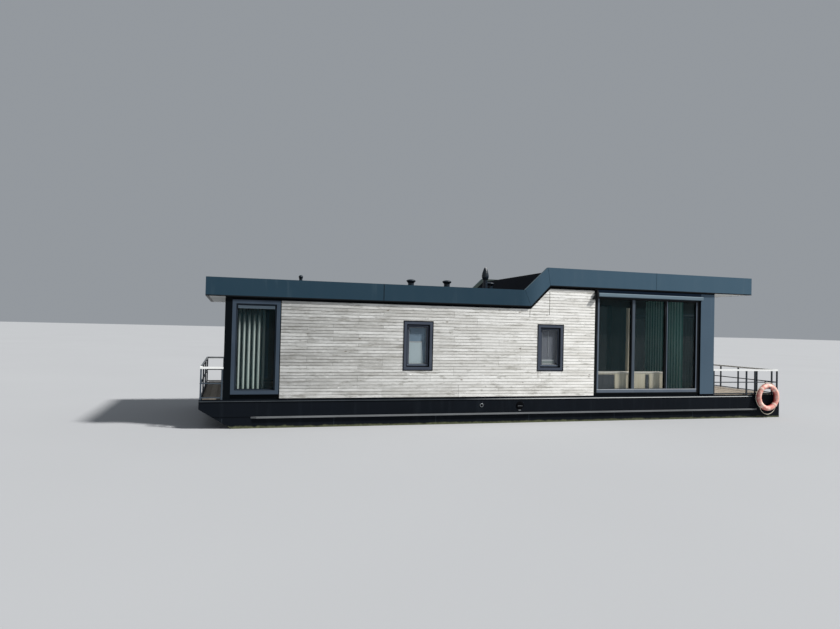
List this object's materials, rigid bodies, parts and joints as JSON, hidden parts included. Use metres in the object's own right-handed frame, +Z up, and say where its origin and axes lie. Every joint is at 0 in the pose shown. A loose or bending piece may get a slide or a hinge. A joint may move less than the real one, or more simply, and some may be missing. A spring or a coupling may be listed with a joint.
{
  "type": "houseboat",
  "caption": "Flat-bottomed houseboat: a steel pontoon with a raked bow, a timber-clad house with a stepped flat roof, large windows, an entrance door and a railed stern terrace.",
  "frame": {"origin": "middle of the hull's length and beam, on its flat bottom", "axes": "+X from the bow to the stern, +Y to starboard, +Z up; the waterline is at z = 0.45 m"},
  "size_m": [16, 4.714, 4.5063],
  "materials": {
    "hull_paint": "near-black hull coating on steel plate, dull, with growth along the waterline",
    "rub_rail": "weathered light grey rubbing strake",
    "decking": "weathered grey-brown deck boards",
    "floor_boards": "oiled floor boards",
    "wall_panel": "anthracite coated panel",
    "weatherboard": "silver-grey weathered softwood boards",
    "window_frame": "powder-coated anthracite aluminium",
    "window_glass": "clear double glazing",
    "screen_box": "light grey coated aluminium",
    "fascia_sheet": "folded anthracite blue-grey sheet",
    "roof_membrane": "black roof membrane",
    "soffit": "pale soffit board",
    "railing": "white coated steel tube",
    "lifebuoy_shell": "sun-faded orange shell",
    "dark_steel": "dark coated sheet steel",
    "cabinet_wood": "pale lacquered wood",
    "curtain_cloth": "thin pale green cloth"
  },
  "bodies": {
    "boat": {"hull": "hull_paint", "bow_deck": "decking", "terrace_deck": "decking", "cabin_floor": "floor_boards", "port_rub_rail": "rub_rail", "starboard_rub_rail": "rub_rail", "port_wall": "wall_panel", "starboard_wall": "wall_panel", "bow_wall": "wall_panel", "stern_wall": "wall_panel", "port_cladding": "weatherboard", "starboard_cladding": "weatherboard", "port_tall_window_frame": "window_frame", "port_tall_window_glass": "window_glass", "port_fore_window_frame": "window_frame", "port_fore_window_glass": "window_glass", "port_aft_window_frame": "window_frame", "port_aft_window_glass": "window_glass", "port_saloon_window_frame": "window_frame", "port_saloon_window_glass": "window_glass", "starboard_tall_window_frame": "window_frame", "starboard_tall_window_glass": "window_glass", "starboard_fore_window_frame": "window_frame", "starboard_fore_window_glass": "window_glass", "starboard_aft_window_frame": "window_frame", "starboard_aft_window_glass": "window_glass", "starboard_saloon_window_frame": "window_frame", "starboard_saloon_window_glass": "window_glass", "port_screen_box": "screen_box", "starboard_screen_box": "screen_box", "port_fascia": "fascia_sheet", "starboard_fascia": "fascia_sheet", "bow_fascia": "fascia_sheet", "stern_fascia": "fascia_sheet", "low_roof": "roof_membrane", "roof_slope": "roof_membrane", "high_roof": "roof_membrane", "bow_soffit": "soffit", "stern_soffit": "soffit", "entrance_frame": "window_frame", "terrace_door_frame": "window_frame", "terrace_fixed_glass": "window_glass", "bow_railing": "railing", "stern_railing": "railing", "lifebuoy": "lifebuoy_shell", "lifebuoy_hook": "dark_steel", "roof_vent_1": "dark_steel", "roof_vent_2": "dark_steel", "roof_vent_3": "dark_steel", "roof_vent_4": "dark_steel", "stove_flue": "dark_steel", "saloon_cabinet": "cabinet_wood", "bow_curtain": "curtain_cloth", "teal_curtain": "curtain_cloth"},
    "entrance_leaf": {"entrance_door": "window_frame", "entrance_glass": "window_glass"},
    "terrace_leaf": {"terrace_door_leaf": "window_frame", "terrace_leaf_glass": "window_glass"},
    "gate": {"boarding_gate": "railing"}
  },
  "joints": [
    {"name": "entrance_hinge", "type": "hinge", "parent": "boat", "child": "entrance_leaf", "pos_m": [-7.341, 1.237, 1.095], "axis": [0, 0, 1], "range_deg": [0, 100]},
    {"name": "terrace_slide", "type": "slide", "parent": "boat", "child": "terrace_leaf", "axis": [0, 1, 0], "range_m": [0, 1.6]},
    {"name": "gate_hinge", "type": "hinge", "parent": "boat", "child": "gate", "pos_m": [7.05, 2.1955, 1.095], "axis": [0, 0, 1], "range_deg": [0, 90]}
  ]
}
